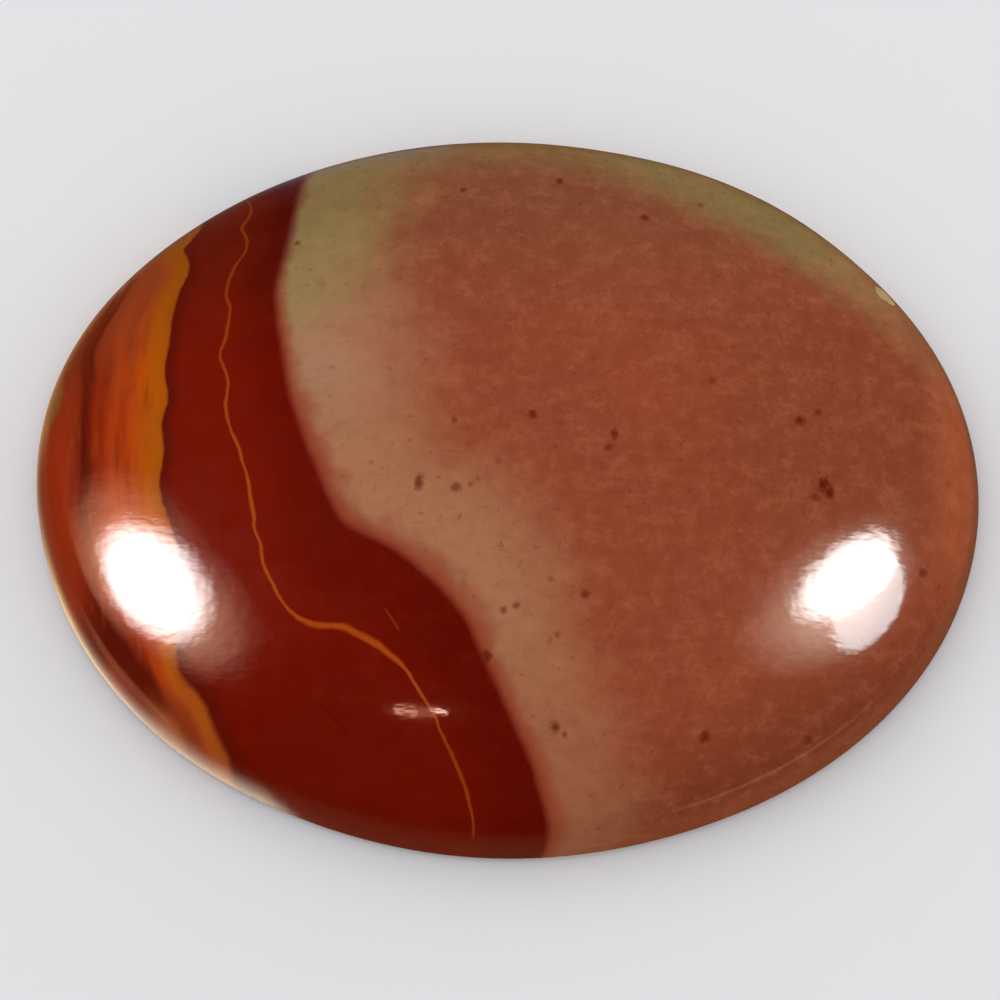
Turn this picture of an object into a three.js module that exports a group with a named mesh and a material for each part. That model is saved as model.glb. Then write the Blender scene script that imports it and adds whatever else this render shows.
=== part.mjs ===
import * as THREE from "three";
import { mergeVertices } from "three/addons/utils/BufferGeometryUtils.js";

// An oval cabochon of noreena jasper: one stone, sawn from a slab, ground to an oval with a low
// wall, domed on top and polished all over. Its back is flat.
// Millimetres, +Z up. The origin is the middle of the flat back. +X runs along the long axis.

// Driving dimensions
const LENGTH = 39.0;
const WIDTH = 30.5;
const THICKNESS = 7.4;
const BACK_BEVEL = 0.4;
const WALL_HEIGHT = 2.4;
const WALL_LEAN = 0.5;
const SHOULDER_RADIUS = 0.8;
const DOME_FULLNESS = 0.92;

// The outline was ground by hand against a template, so it swells and dips a little.
// Each mark has the angle from +X, its half-width in degrees and its depth in millimetres.
const GRINDING_MARKS = [
  { angle: 14, spread: 11, depth: 0.08 },
  { angle: 54, spread: 11, depth: 0.12 },
  { angle: 165, spread: 12, depth: 0.14 },
  { angle: 193, spread: 14, depth: -0.17 },
  { angle: 268, spread: 17, depth: 0.11 },
];

const AROUND = 96;
const DOME_RINGS = 16;
const SHOULDER_STEPS = 4;

const HALF_LENGTH = LENGTH / 2;
const HALF_WIDTH = WIDTH / 2;
const SHOULDER_HEIGHT = BACK_BEVEL + WALL_HEIGHT;
const SHOULDER_LENGTH = HALF_LENGTH - WALL_LEAN;
const SHOULDER_WIDTH = HALF_WIDTH - WALL_LEAN;

// The dome is the cap of an ellipsoid. DOME_FULLNESS is the share of the ellipsoid's half-length
// that the cap reaches, so a value near 1 gives a flatter crown and a steeper edge.
function domeHeight(share) {
  const edge = Math.sqrt(1 - DOME_FULLNESS ** 2);
  const rise = (THICKNESS - SHOULDER_HEIGHT) / (1 - edge);
  return SHOULDER_HEIGHT + rise * (Math.sqrt(1 - (share * DOME_FULLNESS) ** 2) - edge);
}

// The soft edge between the wall and the dome is a curve with the sharp corner as its control point.
function shoulderCurve() {
  const wallAngle = Math.atan2(WALL_HEIGHT, -WALL_LEAN);
  const start = new THREE.Vector2(
    SHOULDER_LENGTH - SHOULDER_RADIUS * Math.cos(wallAngle),
    SHOULDER_HEIGHT - SHOULDER_RADIUS * Math.sin(wallAngle),
  );
  const corner = new THREE.Vector2(SHOULDER_LENGTH, SHOULDER_HEIGHT);
  const endShare = 1 - SHOULDER_RADIUS / SHOULDER_LENGTH;
  const end = new THREE.Vector2(SHOULDER_LENGTH * endShare, domeHeight(endShare));
  return new THREE.QuadraticBezierCurve(start, corner, end);
}

// The section along the long axis, from the middle of the back to the top of the dome.
function section() {
  const shoulder = shoulderCurve();
  const points = [
    new THREE.Vector2(0, 0),
    new THREE.Vector2(HALF_LENGTH - BACK_BEVEL, 0),
    new THREE.Vector2(HALF_LENGTH, BACK_BEVEL),
    ...shoulder.getPoints(SHOULDER_STEPS),
  ];
  const domeStart = shoulder.v2.x / SHOULDER_LENGTH;
  for (let ring = 1; ring < DOME_RINGS; ring += 1) {
    const share = domeStart * Math.cos((ring / DOME_RINGS) * (Math.PI / 2));
    points.push(new THREE.Vector2(SHOULDER_LENGTH * share, domeHeight(share)));
  }
  points.push(new THREE.Vector2(0, THICKNESS));
  return points;
}

// The half-width of the ring whose half-length is given. The wall's rings stand in by the same
// distance all round, and the dome's rings keep the shoulder's proportions.
function ringHalfWidth(halfLength) {
  if (halfLength > SHOULDER_LENGTH) return halfLength - (HALF_LENGTH - HALF_WIDTH);
  return halfLength * (SHOULDER_WIDTH / SHOULDER_LENGTH);
}

// How far the outline stands out from the true oval at an angle.
function wobble(angle) {
  let sum = 0;
  for (const mark of GRINDING_MARKS) {
    const away = THREE.MathUtils.euclideanModulo(angle - mark.angle + 180, 360) - 180;
    sum += mark.depth * Math.exp(-((away / mark.spread) ** 2));
  }
  return sum;
}

// The section is turned to a round stone first, and each of its rings is then narrowed to an oval.
function stoneGeometry() {
  const lathe = new THREE.LatheGeometry(section(), AROUND);
  lathe.rotateX(Math.PI / 2);
  lathe.deleteAttribute("normal");
  lathe.deleteAttribute("uv");
  const position = lathe.getAttribute("position");
  for (let i = 0; i < position.count; i += 1) {
    const halfLength = Math.hypot(position.getX(i), position.getY(i));
    if (halfLength < 1e-6) continue;
    const x = position.getX(i);
    const y = position.getY(i) * (ringHalfWidth(halfLength) / halfLength);
    const angle = THREE.MathUtils.radToDeg(Math.atan2(y, x));
    const swell = 1 + (wobble(angle) / HALF_LENGTH) * (halfLength / HALF_LENGTH);
    position.setXY(i, x * swell, y * swell);
  }
  const stone = mergeVertices(lathe, 1e-4);
  stone.computeVertexNormals();
  return stone;
}

const jasper = new THREE.MeshStandardMaterial({
  color: new THREE.Color().setRGB(0.45, 0.17, 0.1, THREE.SRGBColorSpace),
  roughness: 0.12,
  metalness: 0,
});

const cabochon = new THREE.Mesh(stoneGeometry(), jasper);
cabochon.name = "cabochon";

const part = new THREE.Group();
part.add(cabochon);

export default part;
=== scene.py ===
# %% [markdown]
# This lesson finishes one polished stone: an oval cabochon of noreena jasper. A cabochon is a stone
# with a flat back, a low wall and a smooth dome, ground and polished by hand. The plain solid of
# the stone comes first and fixes its size. A smooth mesh then takes its place, the bands of the
# jasper are painted into the stone as a solid pattern, and soft lights bring out the polish.

# %% Load the plain solid
import math

import bpy
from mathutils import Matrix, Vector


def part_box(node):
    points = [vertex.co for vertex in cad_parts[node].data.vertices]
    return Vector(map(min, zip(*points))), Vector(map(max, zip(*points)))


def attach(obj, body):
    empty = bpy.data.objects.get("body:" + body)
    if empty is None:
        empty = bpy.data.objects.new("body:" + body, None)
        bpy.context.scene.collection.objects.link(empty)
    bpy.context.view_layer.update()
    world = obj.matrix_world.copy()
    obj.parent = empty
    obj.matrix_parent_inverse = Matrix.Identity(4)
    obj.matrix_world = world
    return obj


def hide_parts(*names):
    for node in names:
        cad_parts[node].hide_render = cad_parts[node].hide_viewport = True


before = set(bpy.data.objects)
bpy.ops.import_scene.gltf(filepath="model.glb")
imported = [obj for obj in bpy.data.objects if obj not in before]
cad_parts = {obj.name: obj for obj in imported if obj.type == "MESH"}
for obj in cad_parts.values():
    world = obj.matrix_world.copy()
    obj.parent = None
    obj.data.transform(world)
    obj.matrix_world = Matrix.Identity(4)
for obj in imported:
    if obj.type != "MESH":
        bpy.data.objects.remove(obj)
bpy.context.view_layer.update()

low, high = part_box("cabochon")
print("the solid is", [round(1000 * (b - a), 2) for a, b in zip(low, high)], "mm")

# %% [markdown]
# Everything below is worked out from a few sizes of the stone, in millimetres. Blender counts in
# metres here, so `mm` turns one into the other. The wall leans in a little on its way up, and it
# meets the dome at a soft shoulder. The height comes from the solid, so the two always agree.

# %% Sizes of the stone
def mm(value):
    """Millimetres as Blender's metres."""
    return value * 0.001


HALF_LENGTH = 19.5
HALF_WIDTH = 15.25
BACK_BEVEL = 0.4
WALL_HEIGHT = 2.4
WALL_LEAN = 0.5
SHOULDER_RADIUS = 0.8
DOME_FULLNESS = 0.92

TOP = 1000 * high.z
SHOULDER_HEIGHT = BACK_BEVEL + WALL_HEIGHT
SHOULDER_LENGTH = HALF_LENGTH - WALL_LEAN
SHOULDER_WIDTH = HALF_WIDTH - WALL_LEAN
DOME_EDGE = math.sqrt(1 - DOME_FULLNESS ** 2)
DOME_RISE = (TOP - SHOULDER_HEIGHT) / (1 - DOME_EDGE)


def dome_height(share):
    """Height of the dome in mm, where share is 0 at the middle and 1 at the shoulder."""
    return SHOULDER_HEIGHT + DOME_RISE * (math.sqrt(1 - (share * DOME_FULLNESS) ** 2) - DOME_EDGE)


def on_dome(x, y):
    """The point of the dome above x, y, in mm."""
    share = math.hypot(x / SHOULDER_LENGTH, y / SHOULDER_WIDTH)
    return x, y, dome_height(min(share, 1.0))


print("the dome rises", round(TOP - SHOULDER_HEIGHT, 2), "mm above its shoulder")

# %% [markdown]
# A lapidary grinds the dome by rolling the stone against a wheel, which gives a cap of an
# ellipsoid. A sphere that is cut off with Bisect and squashed with Resize is just that cap. It
# could be a Subdivision Surface on a few faces too, but then the outline would be hard to hold
# to the real oval. The sphere has many segments, because a polished surface shows every facet.

# %% The dome
SEGMENTS = 256
SPHERE_RINGS = 144

bpy.ops.object.select_all(action="DESELECT")
bpy.ops.mesh.primitive_uv_sphere_add(segments=SEGMENTS, ring_count=SPHERE_RINGS, radius=1.0)
stone = bpy.context.object
stone.name = "polished_jasper"
stone.data.name = "polished_jasper"

shoulder_start = 1 - SHOULDER_RADIUS / SHOULDER_LENGTH
cut = math.sqrt(1 - (shoulder_start * DOME_FULLNESS) ** 2)
bpy.ops.object.mode_set(mode="EDIT")
bpy.ops.mesh.select_all(action="SELECT")
bpy.ops.mesh.bisect(plane_co=(0, 0, cut), plane_no=(0, 0, 1), clear_inner=True)
bpy.ops.mesh.select_all(action="SELECT")
stretch = (mm(SHOULDER_LENGTH / DOME_FULLNESS), mm(SHOULDER_WIDTH / DOME_FULLNESS), mm(DOME_RISE))
bpy.ops.transform.resize(value=stretch, center_override=(0, 0, 0))
bpy.ops.transform.translate(value=(0, 0, mm(SHOULDER_HEIGHT - DOME_RISE * DOME_EDGE)))
bpy.ops.object.mode_set(mode="OBJECT")
print("the dome has", len(stone.data.polygons), "faces")

# %% [markdown]
# The rest grows from the dome's open edge. Each Extrude adds one ring, and Resize brings it to its
# own length and width. A hand-ground wall is never quite flat: it rounds over into the dome. So wall
# and shoulder are one curve here, steep at the bottom, which the rings follow. Then come the small
# bevel that keeps the back edge from chipping, and the flat back.

# %% The wall and the back
def select_ring(height, reach=0.001):
    """Selects the vertices at one height, in edge mode, ready to extrude. Works in edit mode."""
    bpy.ops.mesh.select_all(action="DESELECT")
    bpy.ops.object.mode_set(mode="OBJECT")
    for vertex in stone.data.vertices:
        vertex.select = abs(vertex.co.z - mm(height)) < mm(reach)
    bpy.ops.object.mode_set(mode="EDIT")
    bpy.ops.mesh.select_mode(type="VERT")
    bpy.ops.mesh.select_mode(type="EDGE")


ring = [SHOULDER_LENGTH * shoulder_start, SHOULDER_WIDTH * shoulder_start, dome_height(shoulder_start)]


def extrude_ring(half_length, half_width, height):
    """Extrudes the selected ring to a new length, width and height, in mm."""
    bpy.ops.mesh.extrude_edges_move(TRANSFORM_OT_translate={"value": (0, 0, mm(height - ring[2]))})
    grow = (half_length / ring[0], half_width / ring[1], 1)
    bpy.ops.transform.resize(value=grow, center_override=(0, 0, mm(height)))
    ring[:] = half_length, half_width, height


def curve_between(start, corner, end, share):
    """One value on a quadratic curve that bends at a corner."""
    return (1 - share) ** 2 * start + 2 * share * (1 - share) * corner + share ** 2 * end


WALL_STEPS = 20
BACK_STEPS = 5
BACK_CENTRE = 0.1
CORNER_INSET = 0.3
SLOPE_SHARE = 0.01

bpy.ops.object.mode_set(mode="EDIT")
select_ring(ring[2])
dome_start = list(ring)
dome_drop = (dome_height(shoulder_start - SLOPE_SHARE) - ring[2]) / (SLOPE_SHARE * SHOULDER_LENGTH)
corner_height = ring[2] - dome_drop * (HALF_LENGTH - CORNER_INSET - ring[0])
for step in range(1, WALL_STEPS + 1):
    share = step / WALL_STEPS
    extrude_ring(
        curve_between(dome_start[0], HALF_LENGTH - CORNER_INSET, HALF_LENGTH, share),
        curve_between(dome_start[1], HALF_WIDTH - CORNER_INSET, HALF_WIDTH, share),
        curve_between(dome_start[2], corner_height, BACK_BEVEL, share),
    )
extrude_ring(HALF_LENGTH - BACK_BEVEL, HALF_WIDTH - BACK_BEVEL, 0)
for step in range(1, BACK_STEPS + 1):
    shrink = 1 - (1 - BACK_CENTRE) * step / BACK_STEPS
    extrude_ring((HALF_LENGTH - BACK_BEVEL) * shrink, (HALF_WIDTH - BACK_BEVEL) * shrink, 0)
bpy.ops.mesh.edge_face_add()
bpy.ops.mesh.select_all(action="SELECT")
bpy.ops.mesh.normals_make_consistent(inside=False)
bpy.ops.object.mode_set(mode="OBJECT")
print("the stone is closed with", len(stone.data.polygons), "faces")

# %% [markdown]
# The outline was ground by eye against a template, so it swells and dips by a tenth of a millimetre.
# That is what proportional editing is for: one spot of the rim is pushed, and the stone
# around it follows softly. Each mark has its angle, its reach and its depth.

# %% Grinding marks on the outline
GRINDING_MARKS = [
    {"angle": 14, "spread": 11, "depth": 0.08},
    {"angle": 54, "spread": 11, "depth": 0.12},
    {"angle": 165, "spread": 12, "depth": 0.14},
    {"angle": 193, "spread": 14, "depth": -0.17},
    {"angle": 268, "spread": 17, "depth": 0.11},
]
RIM_BAND = 2.0

bpy.ops.object.mode_set(mode="EDIT")
for mark in GRINDING_MARKS:
    angle = math.radians(mark["angle"])
    bpy.ops.mesh.select_all(action="DESELECT")
    bpy.ops.object.mode_set(mode="OBJECT")
    for vertex in stone.data.vertices:
        x, y = 1000 * vertex.co.x, 1000 * vertex.co.y
        away = (math.degrees(math.atan2(y, x)) - mark["angle"] + 180) % 360 - 180
        outer = math.hypot(x / HALF_LENGTH, y / HALF_WIDTH) > 0.985
        vertex.select = outer and abs(away) < RIM_BAND
    bpy.ops.object.mode_set(mode="EDIT")
    bpy.ops.mesh.select_mode(type="VERT")
    push = (mm(mark["depth"]) * math.cos(angle), mm(mark["depth"]) * math.sin(angle), 0)
    reach = 2.1 * math.radians(mark["spread"]) * math.hypot(
        HALF_LENGTH * math.cos(angle), HALF_WIDTH * math.sin(angle)
    )
    bpy.ops.transform.translate(
        value=push,
        use_proportional_edit=True,
        proportional_edit_falloff="SMOOTH",
        proportional_size=mm(reach),
    )
bpy.ops.object.mode_set(mode="OBJECT")
print("the outline now reaches", [round(1000 * side, 2) for side in stone.dimensions], "mm")

# %% [markdown]
# There is one small chip on the shoulder, at the upper right. A chip in jasper is a group of shallow
# shell-like scoops, so three small balls that overlap are cut away with Boolean modifiers. Sculpting
# it would need a far finer mesh all over for a millimetre of damage. Each ball has its middle a
# little outside the stone, so that its scoop stays shallow.

# %% The chip on the shoulder
CHIP_SCOOPS = [
    {"middle": (15.5, 8.47, 3.05), "size": (0.42, 0.52, 0.52), "turn": math.radians(-38)},
    {"middle": (15.76, 8.19, 2.98), "size": (0.32, 0.38, 0.36), "turn": math.radians(-50)},
    {"middle": (15.24, 8.77, 3.12), "size": (0.27, 0.3, 0.3), "turn": math.radians(-30)},
]

for spot in CHIP_SCOOPS:
    bpy.ops.object.select_all(action="DESELECT")
    bpy.ops.mesh.primitive_ico_sphere_add(
        subdivisions=2,
        radius=1,
        location=[mm(value) for value in spot["middle"]],
        rotation=(0, 0, spot["turn"]),
        scale=[mm(value) for value in spot["size"]],
    )
    ball = bpy.context.object
    bpy.ops.object.select_all(action="DESELECT")
    stone.select_set(True)
    bpy.context.view_layer.objects.active = stone
    scoop = stone.modifiers.new("scoop", "BOOLEAN")
    scoop.operation = "DIFFERENCE"
    scoop.solver = "EXACT"
    scoop.object = ball
    bpy.ops.object.modifier_apply(modifier=scoop.name)
    bpy.data.objects.remove(ball)
bpy.ops.object.shade_smooth_by_angle(angle=math.radians(35))
print("with its chip the stone has", len(stone.data.polygons), "faces")

# %% [markdown]
# The pattern needs no unwrapping, but when the stone is baked to a picture for other programs, a UV
# map says where each face goes. The back edge is a natural seam: dome and wall unfold to one
# piece and the back to another. The back is seen least, so it gets the smaller share.

# %% A UV map for baking
BACK_SHARE = 0.5
UV_MARGIN = 0.004

mesh = stone.data
uv_map = mesh.uv_layers.active or mesh.uv_layers.new()
uv_map.name = "OFBake"
for edge in mesh.edges:
    ends = [mesh.vertices[index].co for index in edge.vertices]
    flat = all(end.z < mm(0.05) for end in ends)
    outer = all(math.hypot(end.x / HALF_LENGTH, end.y / HALF_WIDTH) > mm(0.965) for end in ends)
    edge.use_seam = flat and outer
bpy.ops.object.mode_set(mode="EDIT")
bpy.ops.mesh.select_all(action="SELECT")
bpy.ops.uv.unwrap(method="CONFORMAL", margin=UV_MARGIN)
bpy.ops.object.mode_set(mode="OBJECT")
for face in mesh.polygons:
    if all(mesh.vertices[index].co.z < mm(0.05) for index in face.vertices):
        for loop in face.loop_indices:
            mesh.uv_layers["OFBake"].data[loop].uv *= BACK_SHARE
bpy.ops.object.mode_set(mode="EDIT")
bpy.ops.mesh.select_all(action="SELECT")
bpy.ops.uv.select_all(action="SELECT")
bpy.ops.uv.pack_islands(rotate=False, margin=UV_MARGIN)
bpy.ops.object.mode_set(mode="OBJECT")
print("the seam has", sum(edge.use_seam for edge in mesh.edges), "edges")

# %% [markdown]
# The material is a solid pattern: its colours are a function of the place in the stone, as in the
# real rock, so the bands run on over the wall and come out on the back. A painted image would
# stretch on the wall and need a seam. A few helpers keep the node code short: `put` adds a node,
# `plug` fills one of its sockets with a value or with another node's output.

# %% Helpers for the material
material = bpy.data.materials.new("jasper")
material.use_nodes = True
tree = material.node_tree
tree.nodes.clear()


def put(kind, **settings):
    """Adds one node and sets its options."""
    node = tree.nodes.new(kind)
    for name, value in settings.items():
        setattr(node, name, value)
    return node


def plug(socket, value):
    """Sets an input to a plain value, or links it to an output."""
    if isinstance(value, bpy.types.NodeSocket):
        tree.links.new(value, socket)
    else:
        socket.default_value = value


def calc(operation, *values, clamp=False):
    """One Math node."""
    node = put("ShaderNodeMath", operation=operation, use_clamp=clamp)
    for socket, value in zip(node.inputs, values):
        plug(socket, value)
    return node.outputs[0]


def rise(value, start, end, low=0.0, high=1.0):
    """A soft step from low to high as a value goes from start to end."""
    node = put("ShaderNodeMapRange", interpolation_type="SMOOTHSTEP")
    for socket, number in zip(node.inputs, (value, start, end, low, high)):
        plug(socket, number)
    return node.outputs[0]


def blend(amount, under, over):
    """Lays one colour over another."""
    node = put("ShaderNodeMix", data_type="RGBA")
    plug(node.inputs["Factor"], amount)
    plug(node.inputs[6], under)
    plug(node.inputs[7], over)
    return node.outputs[2]


def colour(red, green, blue):
    """A colour as it looks on screen, from 0 to 255, as the linear colour that nodes take."""
    linear = []
    for value in (red, green, blue):
        share = value / 255
        linear.append(share / 12.92 if share < 0.04045 else ((share + 0.055) / 1.055) ** 2.4)
    return (*linear, 1.0)


def mapped(at, kind, **settings):
    """A place that is moved, turned and scaled by a Mapping node."""
    node = put("ShaderNodeMapping", vector_type=kind)
    plug(node.inputs["Vector"], at)
    for socket, value in settings.items():
        node.inputs[socket].default_value = value
    return node.outputs[0]


def stretched(at, stretch, shift):
    """A place that is stretched and then shifted. Without a turn this is much faster."""
    node = put("ShaderNodeVectorMath", operation="MULTIPLY_ADD")
    for socket, value in zip(node.inputs, (at, stretch, shift)):
        plug(socket, value)
    return node.outputs[0]


def grain(place, scale, detail=2.0, roughness=0.5, stretch=(1, 1, 1), shift=(0, 0, 0), turn=0.0):
    """Noise from 0 to 1 on a place in mm, finer with a larger scale, stretched along an axis."""
    if turn:
        turned = (0, 0, math.radians(turn))
        at = mapped(place, "POINT", Location=shift, Rotation=turned, Scale=stretch)
    else:
        at = stretched(place, stretch, shift)
    node = put("ShaderNodeTexNoise")
    plug(node.inputs["Vector"], at)
    plug(node.inputs["Scale"], scale)
    plug(node.inputs["Detail"], detail)
    plug(node.inputs["Roughness"], roughness)
    return node.outputs["Fac"]


# %% [markdown]
# The pattern is laid out on the plan of the stone, in millimetres, as it is seen from above the dome.
# Under the dome the bands lean a little and wander, so the wall and the back show them moved,
# as layers in rock would be. `depth` is how far a point lies below the dome, and it drives both.

# %% Places in the pattern
BAND_LEAN = (0.12, -0.05)
WANDER = 0.28

object_place = put("ShaderNodeTexCoord").outputs["Object"]
to_mm = put("ShaderNodeVectorMath", operation="SCALE")
plug(to_mm.inputs[0], object_place)
to_mm.inputs["Scale"].default_value = 1000.0
place = to_mm.outputs[0]
split = put("ShaderNodeSeparateXYZ")
plug(split.inputs[0], place)
place_x, place_y, place_z = split.outputs

share_x = calc("MULTIPLY", place_x, DOME_FULLNESS / SHOULDER_LENGTH)
share_y = calc("MULTIPLY", place_y, DOME_FULLNESS / SHOULDER_WIDTH)
share_squared = calc("ADD", calc("MULTIPLY", share_x, share_x), calc("MULTIPLY", share_y, share_y))
dome_root = calc("SQRT", calc("MAXIMUM", calc("SUBTRACT", 1.0, share_squared), 0.0))
dome_z = calc("MULTIPLY_ADD", dome_root, DOME_RISE, SHOULDER_HEIGHT - DOME_RISE * DOME_EDGE)
depth = calc("MAXIMUM", calc("SUBTRACT", dome_z, place_z), 0.0)

wander_x = calc("MULTIPLY", calc("SUBTRACT", grain(place, 0.16, shift=(7, 0, 0)), 0.5), 2 * WANDER)
wander_y = calc("MULTIPLY", calc("SUBTRACT", grain(place, 0.16, shift=(0, 9, 0)), 0.5), 2 * WANDER)
plan_x = calc("MULTIPLY_ADD", calc("ADD", wander_x, BAND_LEAN[0]), depth, place_x)
plan_y = calc("MULTIPLY_ADD", calc("ADD", wander_y, BAND_LEAN[1]), depth, place_y)
join_plan = put("ShaderNodeCombineXYZ")
plug(join_plan.inputs[0], plan_x)
plug(join_plan.inputs[1], plan_y)
plan = join_plan.outputs[0]
print("the pattern leans", BAND_LEAN, "mm for each mm of depth")

# %% [markdown]
# All the bands of this stone run from the upper left to the lower right. Turned plan coordinates make
# that easy: `along` runs with the bands and `across` runs over them, so each band edge is
# one curve of across against along, which a Float Curve node can hold. Its points are picked
# on the stone, as x and y in millimetres. The node's height above the curve, corrected for
# the slope, is the distance to the edge.

# %% Band edges as curves
BAND_ANGLE = 60
REACH = 20.0
SLOPE_STEP = 0.3

cosine = math.cos(math.radians(BAND_ANGLE))
sine = math.sin(math.radians(BAND_ANGLE))
along = calc("SUBTRACT", calc("MULTIPLY", plan_x, cosine), calc("MULTIPLY", plan_y, sine))
across = calc("ADD", calc("MULTIPLY", plan_x, sine), calc("MULTIPLY", plan_y, cosine))


def curve(points, at):
    """The value of a smooth curve through points, in mm, at a node's value in mm."""
    node = put("ShaderNodeFloatCurve")
    line = node.mapping.curves[0]
    spots = [(0.5 + u / (2 * REACH), 0.5 + v / (2 * REACH)) for u, v in sorted(points)]
    spots = [(0.0, spots[0][1])] + spots + [(1.0, spots[-1][1])]
    while len(line.points) < len(spots):
        line.points.new(0.5, 0.5)
    for point, spot in zip(line.points, spots):
        point.location = spot
    node.mapping.update()
    plug(node.inputs["Value"], calc("MULTIPLY_ADD", at, 0.5 / REACH, 0.5))
    return calc("MULTIPLY_ADD", node.outputs[0], 2 * REACH, -REACH)


def distance_to(points, rough=0.0):
    """Distance from a band edge in mm, above zero on its right-hand side."""
    turned = [(x * cosine - y * sine, x * sine + y * cosine) for x, y in points]
    gap = calc("SUBTRACT", across, curve(turned, along))
    ahead = curve(turned, calc("ADD", along, SLOPE_STEP))
    behind = curve(turned, calc("SUBTRACT", along, SLOPE_STEP))
    slope = calc("MULTIPLY", calc("SUBTRACT", ahead, behind), 0.5 / SLOPE_STEP)
    distance = calc("DIVIDE", gap, calc("SQRT", calc("MULTIPLY_ADD", slope, slope, 1.0)))
    return calc("MULTIPLY_ADD", calc("SUBTRACT", grain(plan, 2.2, detail=3.0), 0.5), rough, distance)


RED_EDGE = [
    (-8.6, 14.0), (-8.8, 12.6), (-9.0, 11.2), (-9.2, 9.6), (-9.4, 8.2), (-9.6, 7.0), (-9.5, 5.6),
    (-9.2, 4.0), (-8.9, 2.4), (-8.3, 0.6), (-7.5, -1.3), (-7.0, -2.4), (-6.4, -3.3), (-5.5, -3.8),
    (-4.5, -4.3), (-3.4, -5.1), (-2.3, -6.1), (-1.4, -7.2), (-0.8, -8.4), (-0.1, -9.7), (0.5, -10.9),
    (1.2, -12.2), (1.7, -13.5), (2.1, -14.8), (2.2, -15.6),
]
VEIN = [
    (-11.3, 12.4), (-11.1, 11.6), (-10.9, 11.1), (-10.95, 10.6), (-11.2, 10.1), (-11.0, 9.5),
    (-10.95, 8.9), (-11.3, 8.2), (-11.55, 7.5), (-11.65, 6.7), (-11.45, 6.0), (-11.5, 5.3),
    (-11.6, 4.5), (-11.75, 3.9), (-11.45, 3.1), (-11.35, 2.6), (-11.4, 1.7), (-11.2, 0.8),
    (-10.8, -0.1), (-10.55, -0.9), (-10.35, -1.5), (-10.2, -2.3), (-10.05, -3.0), (-10.0, -3.5),
    (-9.75, -4.1), (-9.6, -4.9), (-9.25, -5.6), (-8.85, -6.3), (-8.3, -6.9), (-7.75, -7.2),
    (-7.1, -7.35), (-6.35, -7.4), (-5.7, -7.7), (-5.1, -8.0), (-4.45, -8.45), (-3.9, -8.9),
    (-3.45, -9.5), (-3.05, -10.1), (-2.65, -10.65), (-2.3, -11.4), (-1.95, -12.0), (-1.7, -12.5),
    (-1.4, -13.1), (-1.15, -13.8), (-0.95, -14.6), (-0.8, -15.4),
]
OCHRE_EDGE = [
    (-12.9, 10.8), (-13.3, 9.7), (-13.6, 9.2), (-13.4, 8.7), (-13.3, 8.1), (-13.6, 7.1),
    (-13.8, 6.1), (-13.9, 4.6), (-14.0, 3.3), (-13.8, 2.1), (-14.0, 1.2), (-13.85, 0.0),
    (-13.95, -1.6), (-13.7, -2.5), (-13.2, -3.8), (-12.9, -5.0), (-12.8, -6.3), (-13.0, -7.6),
    (-13.0, -8.5), (-12.7, -9.2), (-12.15, -9.75), (-11.75, -10.35), (-11.45, -11.0), (-11.2, -11.5),
    (-10.9, -12.0), (-10.7, -12.7),
]
OCHRE_RUN = [(-13.2, 10.0), (-13.9, 5.0), (-14.0, 0.0), (-13.4, -5.0), (-12.9, -8.5), (-11.0, -12.0)]
from_red_edge = distance_to(RED_EDGE, rough=0.12)
from_vein = distance_to(VEIN, rough=0.1)
from_ochre_edge = distance_to(OCHRE_EDGE, rough=0.12)
from_ochre_run = distance_to(OCHRE_RUN)
print("three band edges from", len(RED_EDGE) + len(VEIN) + len(OCHRE_EDGE), "points")

# %% [markdown]
# The largest zone is a fine-grained mauve brown. Beside the red band it is bleached to a pale tan,
# which fades away over five to eight millimetres. At the upper left the pale part turns olive,
# where the iron in the rock was leached. Noise moves the fade about, so that it looks mottled.

# %% The mauve zone
MAUVE = colour(143, 68, 42)
MAUVE_WARM = colour(147, 70, 42)
MAUVE_TOP_COOL_PAINTED_SHADE = colour(126, 71, 46)
MAUVE_RIGHT_PAINTED_SHADE = colour(132, 66, 39)
MAUVE_PAINTED_SHADE_LOWER_RIGHT = colour(125, 59, 34)
MAUVE_RIM_PAINTED_LIGHT = colour(158, 79, 48)
MAUVE_WALL_PAINTED_LIGHT = colour(142, 67, 38)
TAN = colour(166, 119, 88)
TAN_YELLOW = colour(166, 113, 78)
OLIVE = colour(145, 121, 74)
OLIVE_TOP_PAINTED_SHADE = colour(128, 108, 66)

broad = grain(plan, 0.22, detail=3.0, shift=(3, 5, 0))
medium = grain(plan, 0.9, detail=3.0)
mauve = blend(rise(broad, 0.35, 0.7), MAUVE, MAUVE_WARM)
# Painted shade: towards the top edge the mauve turns cooler and darker.
mauve = blend(rise(plan_y, 3.0, 12.5), mauve, MAUVE_TOP_COOL_PAINTED_SHADE)
# Painted shade: on the right of the dome the mauve turns duller and darker.
right_side = calc("MULTIPLY", rise(plan_y, -7.0, 1.0), rise(plan_y, 10.0, 5.0))
mauve = blend(calc("MULTIPLY", rise(plan_x, 4.0, 14.5), right_side), mauve, MAUVE_RIGHT_PAINTED_SHADE)
# Painted shade: the mauve darkens towards the lower right.
lower_right = calc("SUBTRACT", calc("MULTIPLY", plan_x, 0.6), plan_y)
mauve = blend(rise(lower_right, 14.0, 18.5), mauve, MAUVE_PAINTED_SHADE_LOWER_RIGHT)
# Painted light: a lighter, warmer mauve along the right-hand rim.
right_rim_painted_light = calc("MULTIPLY", rise(plan_x, 16.3, 18.4), rise(plan_y, -6.5, -2.0))
mauve = blend(right_rim_painted_light, mauve, MAUVE_RIM_PAINTED_LIGHT)
# Painted light: the wall gets a fuller mauve that makes up for the weaker light on it.
mauve = blend(rise(place_z, 2.5, 1.6, high=0.7), mauve, MAUVE_WALL_PAINTED_LIGHT)

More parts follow.
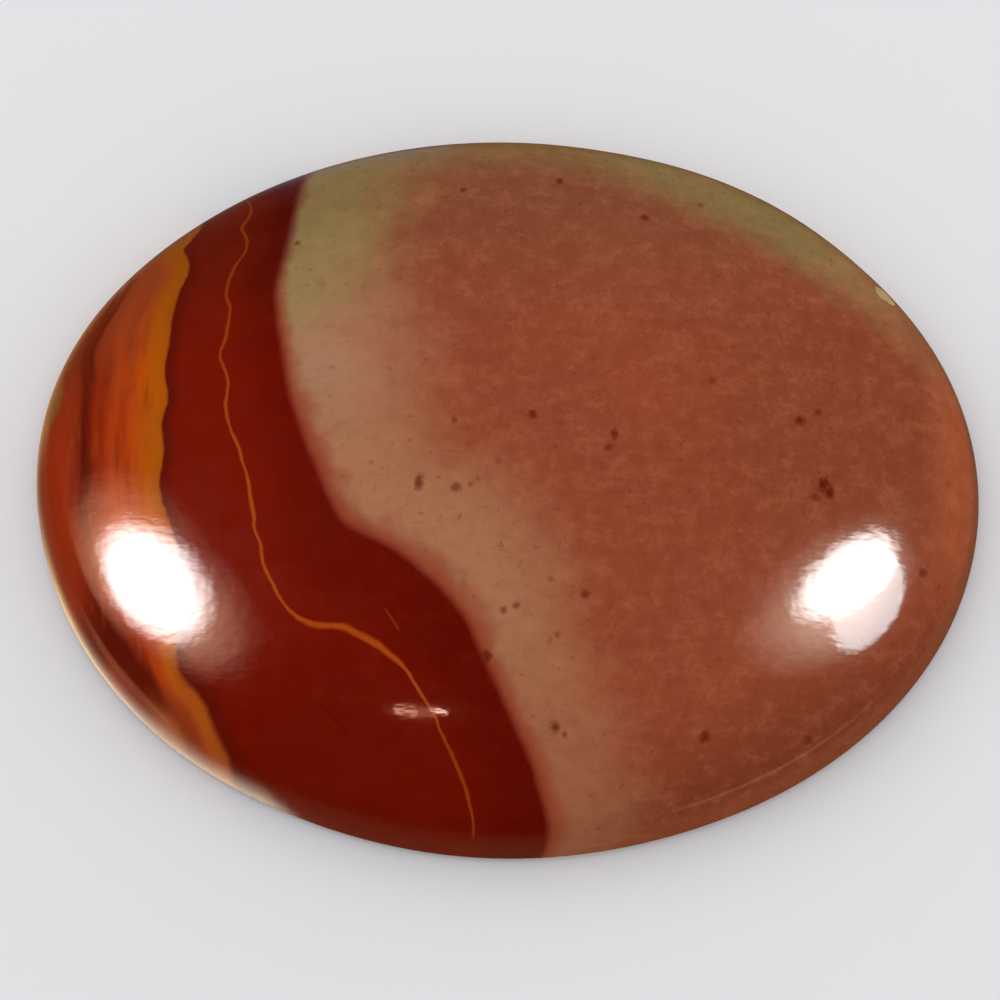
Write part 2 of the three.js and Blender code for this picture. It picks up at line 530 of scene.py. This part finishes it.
TAN_START = 1.4
TAN_REACH = [(-16, 4.9), (-12, 6.5), (-8, 7.4), (-4, 8.0), (-1, 7.2), (4, 6.6), (7, 6.0), (12, 5.4)]
TAN_STRENGTH = [(-16, 0.97), (4, 0.97), (6, 0.92), (8, 0.76), (10, 0.6), (13, 0.52), (16, 0.45)]
mottled = calc("ADD", calc("MULTIPLY", calc("SUBTRACT", grain(plan, 0.35, detail=2.0), 0.5), 2.2),
               calc("MULTIPLY", calc("SUBTRACT", medium, 0.5), 2.2))
tan_place = calc("ADD", from_red_edge, mottled)
tan_span = calc("SUBTRACT", curve(TAN_REACH, along), TAN_START)
tan_share = calc("DIVIDE", calc("SUBTRACT", tan_place, TAN_START), tan_span)
tan_amount = calc("MULTIPLY", rise(tan_share, 1.0, 0.0), curve(TAN_STRENGTH, along))
pale = blend(rise(along, -7.0, -2.3), TAN, TAN_YELLOW)
pale = blend(rise(along, -7.0, -10.5), pale, OLIVE)
# Painted shade: the olive turns darker towards the top-left edge.
pale = blend(rise(along, -10.5, -13.5), pale, OLIVE_TOP_PAINTED_SHADE)
ground = blend(tan_amount, mauve, pale)

# %% [markdown]
# An olive seam follows the upper edge of the dome. Its middle line is one more curve, this time of
# y against x, and it fades softly into the mauve below.

# %% The olive seam
SEAM_OLIVE = colour(128, 106, 64)
SEAM_TAN = colour(146, 103, 66)
SEAM_WALL_PAINTED_LIGHT = colour(170, 124, 79)
SEAM = [
    (-16, 9.0), (-8, 11.0), (-4, 12.7), (0, 13.2), (4, 12.8), (6, 12.0), (9, 10.6), (11, 9.5),
    (14, 7.6), (16, 6.0), (19, 3.5),
]

above_seam = calc("SUBTRACT", plan_y, curve(SEAM, plan_x))
above_seam = calc("MULTIPLY_ADD", calc("SUBTRACT", medium, 0.5), 1.2, above_seam)
seam_middle = calc("MAXIMUM", rise(plan_x, 1.0, 6.0, low=0.6), rise(plan_x, -4.0, -7.0))
seam_strength = calc("MULTIPLY", rise(plan_x, 18.5, 14.0, low=0.25), seam_middle)
seam = blend(rise(plan_x, 11.5, 15.5), SEAM_OLIVE, SEAM_TAN)
# Painted light: a paler tan on the upper wall stands in for light that the wall lacks.
seam = blend(rise(calc("MULTIPLY_ADD", medium, 2.6, place_z), 4.4, 2.4, high=0.85), seam, SEAM_WALL_PAINTED_LIGHT)
ground = blend(calc("MULTIPLY", rise(above_seam, -1.3, 1.2), seam_strength), ground, seam)

# %% [markdown]
# The grain is that of a fine sandstone that turned to quartz: soft pale and dark mottles of all
# sizes from a tenth of a millimetre to a whole one, hardly stronger than the eye can see. One noise
# with many octaves gives them. Where it is high a paler colour is mixed in, and where it is
# low a darker one, which looks more like rock than noise that only dims the colour.

# %% Sandy grain
PALE_GRAIN = colour(205, 124, 90)
DARK_GRAIN = colour(110, 32, 4)
RUST = colour(116, 38, 18)
GRAIN_STRENGTH = 0.85
GRAIN_ON_TAN = 0.6

grain_noise = grain(place, 1.1, detail=4.0, roughness=0.85, shift=(11, 3, 0))
streak_noise = grain(place, 0.9, detail=3.0, roughness=0.7, stretch=(0.5, 2.5, 1), turn=4)
uneven = calc("ADD", calc("SUBTRACT", grain_noise, 0.5), calc("MULTIPLY", calc("SUBTRACT", streak_noise, 0.5), 0.3))
grain_strength = rise(tan_amount, 0.1, 0.7, low=GRAIN_STRENGTH, high=GRAIN_ON_TAN)
lighter = calc("MULTIPLY", uneven, grain_strength, clamp=True)
darker = calc("MULTIPLY", calc("MULTIPLY", uneven, -1.25), grain_strength, clamp=True)
ground = blend(lighter, ground, PALE_GRAIN)
ground = blend(darker, ground, DARK_GRAIN)
rusty = rise(grain(place, 2.6, detail=2.0, roughness=0.6, shift=(1, 4, 0)), 0.6, 0.78, high=0.4)
ground = blend(rusty, ground, RUST)

# %% [markdown]
# The red half is nearly even: a brick red that deepens to blood red beyond the vein, and turns
# browner towards the upper edge. Where red meets mauve the edge is crisp at the top of the
# stone, and lower down a rose-coloured halo softens it.

# %% The red zone
BRICK = colour(115, 18, 0)
BLOOD_RED = colour(101, 11, 0)
RED_LOW = colour(102, 12, 0)
RED_DEEP = colour(93, 9, 0)
RED_BROWN = colour(88, 22, 9)
DARK_BROWN = colour(71, 12, 3)
RED_GRAIN = colour(150, 42, 20)
ROSE = colour(143, 60, 37)
ROSE_TOP = colour(112, 62, 48)

beyond_vein = rise(from_vein, -0.5, 1.5)
red = blend(rise(from_vein, -0.3, 2.6), BRICK, BLOOD_RED)
red = blend(calc("MULTIPLY", rise(plan_y, 2.0, 11.0), 0.85), red, blend(beyond_vein, RED_BROWN, DARK_BROWN))
red = blend(calc("MULTIPLY", rise(along, 0.0, 6.0), 0.75), red, blend(beyond_vein, RED_LOW, RED_DEEP))
red_cloud = grain(plan, 0.5, detail=3.0, stretch=(1.6, 0.7, 1), shift=(5, 1, 0))
red = blend(calc("MULTIPLY", rise(red_cloud, 0.5, 0.75), 0.3), red, BLOOD_RED)
red = blend(calc("MULTIPLY", uneven, 0.6, clamp=True), red, RED_GRAIN)

halo_reach = calc("MULTIPLY", rise(along, -12.0, -2.0, low=0.48, high=1.35), rise(along, 4.0, 8.0, low=1.0, high=0.75))
halo_reach = calc("MULTIPLY", halo_reach, rise(medium, 0.3, 0.7, low=0.7, high=1.3))
rose = blend(rise(along, -9.0, -13.0), ROSE, ROSE_TOP)
body = blend(rise(from_red_edge, -0.2, 0.22), red, rose)
body = blend(rise(calc("DIVIDE", from_red_edge, halo_reach), 0.0, 1.0), body, ground)

# %% [markdown]
# Left of the brick red comes a golden ochre band with a hard, scalloped edge, and left of that bands
# of orange, dark red and umber that blur into each other. They always come in the same order,
# so a Color Ramp over the distance from the edge holds them. Its left parts follow a smoother
# run than the scallops, and a noise stretched along the band breaks them into streaks.

# %% The ochre band and the streaked zone
MAROON = colour(84, 15, 4)
STREAK_DARK = colour(118, 34, 9)
STREAK_PALE = colour(176, 84, 34)
DULL_GOLD = colour(132, 69, 10)
DULL_BROWN = colour(132, 58, 26)
RIM_RED = colour(147, 43, 14)
TONGUE_BROWN = colour(138, 54, 20)
TONGUE_RIM = colour(168, 86, 42)
TONGUE_OCHRE = colour(162, 72, 28)
LEFT_WALL_PAINTED_LIGHT = colour(200, 124, 68)
OLIVE_PATCH = (-18.65, 2.6, 2.6)
OLIVE_PATCH_SIZE = (0.35, 1.1, 1.5)
OUTER_BANDS = [
    (0.0, colour(162, 78, 4)), (0.5, colour(176, 84, 2)), (0.9, colour(178, 74, 6)),
    (1.3, colour(173, 60, 10)), (2.1, colour(163, 55, 12)), (2.5, colour(140, 36, 6)),
    (2.85, colour(134, 33, 8)), (3.1, colour(106, 22, 3)), (3.4, colour(126, 34, 11)),
    (4.0, colour(145, 45, 17)), (4.6, colour(136, 56, 24)), (5.3, colour(134, 88, 46)),
]
BANDS_REACH = 6.0


def away_from(middle, size, turn=0.0):
    """How far a point lies from the middle of an oval blob: 1 at its edge. Sizes are half-widths in mm."""
    if turn:
        at = mapped(place, "TEXTURE", Location=middle, Rotation=(0, 0, turn), Scale=size)
    else:
        at = stretched(place, [1 / side for side in size], [-m / side for m, side in zip(middle, size)])
    node = put("ShaderNodeVectorMath", operation="LENGTH")
    plug(node.inputs[0], at)
    return node.outputs["Value"]


def ramp(value, stops, reach):
    """Colours at their distances in mm, blended between."""
    node = put("ShaderNodeValToRGB")
    elements = node.color_ramp.elements
    while len(elements) < len(stops):
        elements.new(1.0)
    for element, (at, shade) in zip(elements, stops):
        element.position = at / reach
        element.color = shade
    plug(node.inputs[0], calc("DIVIDE", value, reach))
    return node.outputs[0]


squeeze = rise(along, -3.2, 2.2, low=1.0, high=2.6)
hard = calc("MULTIPLY", from_ochre_edge, -1.0)
smooth = calc("MULTIPLY", calc("MULTIPLY", from_ochre_run, -1.0), squeeze)
run_place = put("ShaderNodeCombineXYZ")
plug(run_place.inputs[0], from_ochre_run)
plug(run_place.inputs[1], calc("MULTIPLY", along, 0.14))
run_noise = calc("SUBTRACT", grain(run_place.outputs[0], 0.9, detail=3.0, roughness=0.6), 0.5)
run_fine = grain(run_place.outputs[0], 2.2, detail=4.0, roughness=0.6, shift=(4, 0, 0))
run_pale = grain(run_place.outputs[0], 1.9, detail=4.0, roughness=0.6, shift=(9, 3, 0))
smooth = calc("MULTIPLY_ADD", run_noise, 1.1, smooth)
bands_at = put("ShaderNodeMix", data_type="FLOAT")
plug(bands_at.inputs["Factor"], rise(hard, 0.1, 1.2))
plug(bands_at.inputs[2], hard)
plug(bands_at.inputs[3], smooth)
left = ramp(bands_at.outputs[0], OUTER_BANDS, BANDS_REACH)
left = blend(calc("MULTIPLY", rise(run_fine, 0.42, 0.7), rise(hard, 0.3, 1.2, low=0.12, high=0.6)), left, STREAK_DARK)
left = blend(calc("MULTIPLY", rise(run_pale, 0.5, 0.72), rise(hard, 0.5, 1.5, high=0.4)), left, STREAK_PALE)
dull_top = calc("MULTIPLY", rise(along, -9.5, -15.0), rise(hard, 0.0, 2.2, low=0.8, high=0.9))
left = blend(dull_top, left, blend(rise(hard, 0.4, 1.3), DULL_GOLD, DULL_BROWN))
rim_red = calc("MULTIPLY", rise(smooth, 3.6, 4.3), rise(place_y, 3.0, 0.5))
left = blend(rim_red, left, RIM_RED)
deep_half = rise(along, -0.5, 1.0, low=1.25, high=1.7)
deep_streak = rise(calc("ABSOLUTE", calc("SUBTRACT", smooth, 3.7)), deep_half, 0.3)
deep_streak = calc("MULTIPLY", calc("MULTIPLY", deep_streak, rise(along, -3.8, -1.5, high=0.85)), rise(along, 3.2, 1.6))
upper_streak = rise(calc("ABSOLUTE", calc("SUBTRACT", smooth, 3.05)), 0.45, 0.1)
upper_streak = calc("MULTIPLY", upper_streak, rise(run_fine, 0.35, 0.6, low=0.2, high=0.75))
left = blend(calc("MULTIPLY", upper_streak, rise(along, -3.0, -5.0)), left, MAROON)
left = blend(deep_streak, left, MAROON)
in_tongue = rise(along, 0.6, 2.4)
left = blend(calc("MULTIPLY", in_tongue, rise(hard, 1.1, 0.5, high=0.5)), left, TONGUE_OCHRE)
tongue = blend(rise(hard, 1.0, 1.5), TONGUE_BROWN, TONGUE_RIM)
left = blend(calc("MULTIPLY", calc("MULTIPLY", in_tongue, rise(hard, 0.35, 0.8)), rise(along, 1.4, 3.0, low=0.45, high=0.9)), left, tongue)
olive_patch = rise(away_from(OLIVE_PATCH, OLIVE_PATCH_SIZE, math.radians(-12)), 1.2, 0.3, high=0.75)
left = blend(olive_patch, left, colour(124, 90, 38))
# Painted light: a pale orange-tan laid over the left wall makes up for the weak light on it.
left_wall_light_share = rise(calc("MULTIPLY_ADD", run_fine, 2.0, place_z), 4.0, 2.2, high=0.8)
left = blend(calc("MULTIPLY", left_wall_light_share, rise(place_y, -0.5, 2.5)), left, LEFT_WALL_PAINTED_LIGHT)

maroon_line = calc("SUBTRACT", 1.0, rise(from_ochre_edge, 0.1, rise(along, -1.0, 2.0, low=0.7, high=1.0)))
body = blend(calc("MULTIPLY", maroon_line, 0.65), body, MAROON)
edge_half = rise(along, -1.0, 2.0, low=0.07, high=0.17)
body = blend(rise(from_ochre_edge, edge_half, calc("MULTIPLY", edge_half, -1.0)), body, left)

# %% [markdown]
# A thin orange vein winds through the red. Its width comes from noise, and it is widest where it
# turns. A short pale dash and a dark hairline lie beside it.

# %% The vein and the two short lines
VEIN_ORANGE = colour(170, 70, 13)
VEIN_WIDTH = 0.055
VEIN_WIDEST = 0.105


def short_line(middle, angle, length, width):
    """A mask of a short straight line on the plan, soft at its sides and ends."""
    parts = put("ShaderNodeSeparateXYZ")
    turned = (0, 0, math.radians(angle))
    plug(parts.inputs[0], mapped(plan, "TEXTURE", Location=(*middle, 0), Rotation=turned))
    lengthwise = rise(calc("ABSOLUTE", parts.outputs[0]), length / 2, length / 4)
    sideways = rise(calc("ABSOLUTE", parts.outputs[1]), width, width / 4)
    return calc("MULTIPLY", lengthwise, sideways)


vein_away = calc("ABSOLUTE", from_vein)
vein_noise = grain(plan, 0.8, detail=3.0, shift=(2, 8, 0))
thickness = rise(vein_noise, 0.3, 0.7, low=0.7 * VEIN_WIDTH, high=1.2 * VEIN_WIDTH)
turn_share = calc("MULTIPLY", rise(along, 1.5, 3.0), rise(along, 6.5, 4.5))
thickness = calc("MULTIPLY_ADD", turn_share, VEIN_WIDEST - VEIN_WIDTH, thickness)
vein = rise(calc("DIVIDE", vein_away, thickness), 2.0, 0.2)
strength = calc("MULTIPLY", rise(along, -15.0, -3.0, low=0.34, high=0.92), rise(depth, 0.45, 0.05, low=0.1))
strength = calc("MULTIPLY", strength, rise(along, 6.5, 9.5, high=0.6, low=1.0))
vein = calc("MULTIPLY", vein, strength)
body = blend(vein, body, VEIN_ORANGE)
dash = short_line((-4.4, -7.1), -55, 1.3, 0.07)
body = blend(calc("MULTIPLY", dash, 0.3), body, VEIN_ORANGE)
hairline = short_line((-6.65, -10.8), -43, 2.2, 0.05)
body = blend(calc("MULTIPLY", hairline, 0.5), body, colour(66, 8, 3))

# %% [markdown]
# Red-brown specks sit in the mauve zone. Each is a small oval blob in the stone with a soft, ragged
# edge. The ones on the dome are placed one by one, with half their width, half their length and their
# strength. The wall and the back get scattered ones from a Voronoi texture, which drops one
# point in each cell.

# %% Specks
SPECK = colour(96, 27, 8)
SPECKS = [
    (-2.15, 11.65, 0.17, 0.17, 0.8), (1.85, 12.25, 0.18, 0.2, 0.85), (5.35, 10.55, 0.2, 0.17, 0.85),
    (7.65, 11.5, 0.14, 0.14, 0.5), (8.15, 3.15, 0.18, 0.18, 0.5), (11.75, 1.75, 0.22, 0.24, 0.9),
    (12.45, 2.2, 0.16, 0.16, 0.65), (12.7, -0.85, 0.3, 0.42, 1.0), (12.95, -1.15, 0.28, 0.26, 1.0),
    (12.4, -1.4, 0.22, 0.16, 0.6), (0.95, 1.25, 0.19, 0.22, 0.85), (-2.15, 0.95, 0.17, 0.16, 0.6),
    (4.25, 0.6, 0.17, 0.26, 0.8), (4.0, 0.0, 0.17, 0.2, 0.65), (-3.5, -1.65, 0.2, 0.38, 0.8),
    (-2.0, -1.85, 0.24, 0.2, 0.65), (-1.45, -1.7, 0.14, 0.14, 0.45), (1.85, -5.4, 0.14, 0.14, 0.4),
    (3.2, -5.95, 0.2, 0.2, 0.7), (0.0, -6.7, 0.16, 0.18, 0.65), (0.5, -6.5, 0.16, 0.16, 0.6),
    (2.15, -7.55, 0.14, 0.14, 0.45), (2.15, -11.05, 0.22, 0.26, 0.85), (2.55, -11.3, 0.15, 0.15, 0.6),
    (8.15, -11.05, 0.23, 0.27, 0.85), (12.35, -10.75, 0.2, 0.2, 0.6), (16.9, -3.85, 0.2, 0.2, 0.7),
    (-8.85, 9.05, 0.16, 0.17, 0.7), (-0.6, -8.5, 0.22, 0.27, 0.9),
]
SPECK_HEIGHT = 0.4

ragged = calc("MULTIPLY", calc("SUBTRACT", grain(place, 3.2, detail=3.0, roughness=0.7), 0.5), 1.9)
speck_mask = None
for x, y, half_width, half_length, strength in SPECKS:
    away = away_from(on_dome(x, y), (half_width, half_length, SPECK_HEIGHT))
    one = rise(calc("ADD", away, ragged), 1.35, 0.25, high=strength)
    speck_mask = one if speck_mask is None else calc("MAXIMUM", speck_mask, one)

cells = put("ShaderNodeTexVoronoi")
plug(cells.inputs["Vector"], place)
cells.inputs["Scale"].default_value = 0.28
scattered = rise(calc("MULTIPLY_ADD", ragged, 0.03, cells.outputs["Distance"]), 0.09, 0.02, high=0.85)
scattered = calc("MULTIPLY", scattered, rise(place_z, 2.9, 2.4))
scattered = calc("MULTIPLY", scattered, rise(from_red_edge, 0.3, 0.8))
speck_mask = calc("MAXIMUM", speck_mask, scattered)
body = blend(speck_mask, body, SPECK)
print(len(SPECKS), "specks on the dome")

# %% [markdown]
# The chip shows fresh rock: pale yellow-green and dull. Only its own surface and a narrow bruised
# edge lie within the balls that cut it, so the same measure as for the specks picks them out.

# %% The chip's fresh rock
FRESH = colour(168, 143, 100)
FRESH_WARM_PAINTED_LIGHT = colour(177, 151, 108)

chip_away = None
for spot in CHIP_SCOOPS:
    away = away_from(spot["middle"], spot["size"], spot["turn"])
    chip_away = away if chip_away is None else calc("MINIMUM", chip_away, away)
in_chip = rise(calc("MULTIPLY_ADD", ragged, 0.06, chip_away), 1.12, 0.99)
# Painted light: low in the scoop the fresh rock is lighter and warmer, to lift the scoop's shade.
fresh = blend(rise(place_z, 2.9, 2.5), FRESH, FRESH_WARM_PAINTED_LIGHT)
body = blend(in_chip, body, fresh)

# %% [markdown]
# Jasper is a dense quartz rock. Polished, it is a hard mirror over a slightly soft gloss: a sharp
# Coat on top of a rougher base. The base's wide highlight makes the haze around each
# lamp's reflection. The bump is only a few thousandths of a millimetre: waves left by hand
# grinding, which bend the edges of the reflections, and fine strokes from the polishing pad.

# %% The polish
shader = put("ShaderNodeBsdfPrincipled")
plug(shader.inputs["Base Color"], body)
shader.inputs["IOR"].default_value = 1.54
shader.inputs["Specular IOR Level"].default_value = 0.05
shader.inputs["Coat IOR"].default_value = 1.5
shader.inputs["Coat Roughness"].default_value = 0.045

haze = grain(place, 0.7, detail=4.0, roughness=0.6)
roughness = rise(haze, 0.3, 0.7, low=0.13, high=0.21)
roughness = calc("MULTIPLY_ADD", in_chip, 0.4, roughness, clamp=True)
plug(shader.inputs["Roughness"], roughness)
plug(shader.inputs["Coat Weight"], calc("SUBTRACT", 1.0, in_chip))

WAVES = 0.009
STROKES = 0.0024
waves = put("ShaderNodeBump")
waves.inputs["Distance"].default_value = mm(WAVES)
plug(waves.inputs["Height"], grain(place, 0.8, detail=2.0))
strokes = put("ShaderNodeBump")
strokes.inputs["Distance"].default_value = mm(STROKES)
stroke_height = grain(place, 2.8, detail=1.5, roughness=0.6, stretch=(0.6, 1.5, 1), turn=20)
plug(strokes.inputs["Height"], stroke_height)
plug(strokes.inputs["Normal"], waves.outputs[0])
plug(shader.inputs["Normal"], strokes.outputs[0])
plug(shader.inputs["Coat Normal"], strokes.outputs[0])

output = put("ShaderNodeOutputMaterial")
plug(output.inputs["Surface"], shader.outputs[0])
stone.data.materials.clear()
stone.data.materials.append(material)
print("the material has", len(tree.nodes), "nodes")

# %% [markdown]
# The finished stone takes the place of the plain solid and moves with it.

# %% Put the stone in its place
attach(stone, "root")
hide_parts("cabochon")

# %% [markdown]
# The stone lies on a plain pale floor. Two soft lamps stand left and right at 45 degrees and draw the
# two bright highlights on the dome, and a narrow one in front draws the small third. A big
# panel overhead lights the colours. It is hidden from reflections, because a wide white
# reflection would wash out the dark red.

# %% Floor and world
FLOOR_SIZE = 3.0

bpy.ops.object.select_all(action="DESELECT")
bpy.ops.mesh.primitive_plane_add(size=FLOOR_SIZE, location=(0, 0, 0))
floor = bpy.context.object
floor.name = "floor"
paper = bpy.data.materials.new("pale_paper")
paper.use_nodes = True
paper_shader = paper.node_tree.nodes["Principled BSDF"]
paper_shader.inputs["Base Color"].default_value = (0.76, 0.76, 0.77, 1)
paper_shader.inputs["Roughness"].default_value = 0.9
paper_shader.inputs["Specular IOR Level"].default_value = 0.1
floor.data.materials.append(paper)

world = bpy.data.worlds.new("soft_room")
bpy.context.scene.world = world
world.use_nodes = True
tree = world.node_tree
background = tree.nodes["Background"]
ROOM_LIGHT = (0.82, 0.82, 0.84, 1)
PALE_TABLE = (2.3, 2.0, 1.5, 1)
DIM_TABLE = (0.14, 0.06, 0.03, 1)
BACK_TABLE = (0.26, 0.12, 0.055, 1)
TABLE_EDGE = (0.8, 0.34, 0.2, 1)
WARM_TABLE = (2.3, 1.7, 0.85, 1)
WARM_EDGE = (0.8, 0.29, 0.145, 1)
PALE_WALL = (0.06, 0.16, 0.28, 1)
DIM_WALL = (0.09, 0.07, 0.052, 1)
DARK_ROOM = (0.0, 0.0, 0.0, 1)

direction = put("ShaderNodeSeparateXYZ")
plug(direction.inputs[0], put("ShaderNodeTexCoord").outputs["Generated"])
to_right, to_back, upwards = direction.outputs


def overlap(*masks):
    """Where all the masks hold at once."""
    result = masks[0]
    for mask in masks[1:]:
        result = calc("MULTIPLY", result, mask)
    return result


mirrored_room = blend(rise(upwards, -0.35, -0.7), DARK_ROOM, DIM_TABLE)
back_table = overlap(rise(upwards, -0.6, -0.75), rise(to_right, -0.06, -0.16), rise(to_back, 0.24, 0.34))
mirrored_room = blend(back_table, mirrored_room, BACK_TABLE)
edge_strip = overlap(rise(upwards, -0.42, -0.47), rise(upwards, -0.56, -0.5),
                     rise(to_right, 0.25, 0.5), rise(to_back, -0.3, -0.65))
mirrored_room = blend(edge_strip, mirrored_room, TABLE_EDGE)
table_share = calc("DIVIDE", calc("SUBTRACT", -0.58, upwards), 0.34, clamp=True)
to_front_right = calc("MULTIPLY_ADD", to_back, -0.55, to_right)
steepness = rise(to_back, -0.45, 0.12, low=2.4, high=7.5)
left_table = overlap(calc("POWER", table_share, steepness), rise(to_front_right, -0.04, -0.12),
                     rise(to_back, 0.26, 0.02, low=0.12), rise(to_right, -0.1, -0.25))
table_light = blend(rise(to_back, -0.1, 0.08), PALE_TABLE, WARM_TABLE)
mirrored_room = blend(left_table, mirrored_room, table_light)
warm_edge = overlap(rise(upwards, -0.44, -0.53), rise(upwards, -0.74, -0.62), rise(to_back, -0.12, -0.24),
                    rise(to_back, -0.55, -0.42), rise(to_right, -0.5, -0.65))
mirrored_room = blend(warm_edge, mirrored_room, WARM_EDGE)
sideways = calc("DIVIDE", to_right, to_back)
left_wall = overlap(rise(sideways, -0.22, -0.36), rise(sideways, -0.75, -0.5), rise(to_back, 0.35, 0.55),
                    rise(upwards, 0.15, -0.15))
mirrored_room = blend(left_wall, mirrored_room, DIM_WALL)
back_wall = overlap(rise(sideways, -0.05, -0.12), rise(sideways, -0.4, -0.27), rise(to_back, 0.45, 0.7),
                    rise(upwards, 0.1, -0.35), rise(upwards, -0.84, -0.55, low=0.05))
mirrored_room = blend(back_wall, mirrored_room, PALE_WALL)
in_mirror = put("ShaderNodeLightPath").outputs["Is Glossy Ray"]
background.inputs["Color"].default_value = ROOM_LIGHT
mirror_background = put("ShaderNodeBackground")
plug(mirror_background.inputs["Color"], mirrored_room)
either = put("ShaderNodeMixShader")
for socket, value in zip(either.inputs, (in_mirror, background.outputs[0], mirror_background.outputs[0])):
    plug(socket, value)
plug(tree.nodes["World Output"].inputs["Surface"], either.outputs[0])
floor.visible_glossy = False

# %% [markdown]
# Each lamp is an area light that faces the stone. Its direction is given as a compass angle from +X
# and a height above the floor, and its size as the angle that it fills, seen from the stone.

# %% Lamps
from mathutils import Vector

LAMP_DISTANCE = 0.32


def area_light(name, turn, height, wide, tall, radiance, roll=0.0, distance=LAMP_DISTANCE):
    """An oval area light that faces the stone. Its angles are in degrees."""
    data = bpy.data.lights.new(name, "AREA")
    data.shape = "ELLIPSE"
    data.size = 2 * distance * math.tan(math.radians(wide / 2))
    data.size_y = 2 * distance * math.tan(math.radians(tall / 2))
    data.energy = math.pi ** 2 / 4 * radiance * data.size * data.size_y
    thing = bpy.data.objects.new(name, data)
    bpy.context.scene.collection.objects.link(thing)
    flat = math.cos(math.radians(height))
    way = Vector((flat * math.cos(math.radians(turn)), flat * math.sin(math.radians(turn)),
                  math.sin(math.radians(height))))
    thing.location = way * distance
    thing.rotation_euler = way.to_track_quat("Z", "Y").to_euler()
    thing.rotation_euler.rotate_axis("Z", math.radians(roll))
    thing.visible_camera = False
    return thing


def emission_tree(lamp):
    """The node tree of a lamp, with its Emission node."""
    lamp.data.use_nodes = True
    return lamp.data.node_tree


WHITE = (1.0, 1.0, 1.0)
SHINE = [
    ("left_window", -168.5, 39.0, 27.0, 30.5, 0, 25, 0.54, WHITE),
    ("left_haze", -159.5, 43.5, 35.0, 30.0, -58, 7.5, 0.0, (1.0, 0.6, 0.4)),
    ("left_glow", -174.0, 34.0, 37.0, 44.0, 12, 10, 0.0, (1.0, 0.45, 0.24)),
    ("right_window", -5.0, 45.0, 17.0, 25.0, 42, 25, 0.56, WHITE),
    ("right_lobe", -11.5, 37.5, 18.5, 22.5, -62, 12, 0.8, (0.87, 0.97, 1.0)),
    ("right_haze", -11.5, 44.5, 39.0, 33.0, -42, 7.5, 0.0, (1.0, 0.88, 0.68)),
    ("front_glow", -108.0, 56.0, 10.0, 5.5, 30, 4.0, 0.0, (1.0, 0.4, 0.22)),
    ("front_spark", -103.5, 57.5, 2.5, 2.0, -32, 22, 0.5, (1.0, 0.65, 0.5)),
    ("front_sliver", -110.5, 55.5, 3.5, 2.5, 9, 9, 0.3, (1.0, 0.6, 0.4)),
]
for name, turn, height, wide, tall, roll, radiance, core, tint in SHINE:
    lamp = area_light(name, turn, height, wide, tall, radiance, roll)
    lamp.visible_diffuse = False
    lamp.data.color = tint
    tree = emission_tree(lamp)
    from_middle = put("ShaderNodeVectorMath", operation="DISTANCE")
    plug(from_middle.inputs[0], put("ShaderNodeNewGeometry").outputs["Parametric"])
    from_middle.inputs[1].default_value = (0.5, 0.5, 0.0)
    brightness = rise(from_middle.outputs["Value"], 0.5, 0.5 * core)
    plug(tree.nodes["Emission"].inputs["Strength"], brightness)

fill = area_light("low_fill", 8, 8, 70, 13, 2.2)
fill.visible_glossy = False
back_fill = area_light("back_fill", 66, 5, 100, 9, 1.7)
back_fill.visible_glossy = False
panel = area_light("overhead_panel", 130, 60, 60, 60, 0.75, distance=0.6)
panel.visible_glossy = False
print(len(bpy.data.lights), "lamps")

# %% [markdown]
# The camera looks down on the dome from 17 degrees off the vertical with a long lens, as for a
# close-up of a small stone. A slight roll sets the long axis a little off level.

# %% Camera
from mathutils import Matrix

CAMERA_TILT = math.radians(17)
CAMERA_ROLL = math.radians(1.6)
CAMERA_DISTANCE = mm(180)
AIM_HEIGHT = mm(3)
PIXELS_PER_MM = 24.51
IMAGE_SIZE = 1000
AIM_PIXEL = (507.1, 475.8)
SENSOR = 36.0

camera_data = bpy.data.cameras.new("camera")
camera_data.sensor_width = SENSOR
camera_data.lens = SENSOR * PIXELS_PER_MM * 1000 * CAMERA_DISTANCE / IMAGE_SIZE
camera_data.clip_start = 0.01
camera_data.clip_end = 10
camera_data.shift_x = (IMAGE_SIZE / 2 - AIM_PIXEL[0]) / IMAGE_SIZE
camera_data.shift_y = (AIM_PIXEL[1] - IMAGE_SIZE / 2) / IMAGE_SIZE
camera = bpy.data.objects.new("camera", camera_data)
bpy.context.scene.collection.objects.link(camera)
turn = Matrix.Rotation(CAMERA_TILT, 4, "X") @ Matrix.Rotation(CAMERA_ROLL, 4, "Z")
camera.matrix_world = Matrix.Translation((0, 0, AIM_HEIGHT)) @ turn @ Matrix.Translation((0, 0, CAMERA_DISTANCE))
bpy.context.scene.camera = camera
bpy.context.scene.view_settings.view_transform = "Standard"
print("lens", round(camera_data.lens, 1), "mm")

# %% [markdown]
# Light that has bounced three times is too weak to be seen here, because the stone is convex and the
# floor is flat, so neither lights itself. Blender would follow it for twelve bounces. Stopping
# after three makes a render quicker.

# %% Bounces of light
MOST_BOUNCES = 3

bpy.context.scene.cycles.max_bounces = MOST_BOUNCES
print("light is followed for", MOST_BOUNCES, "bounces")
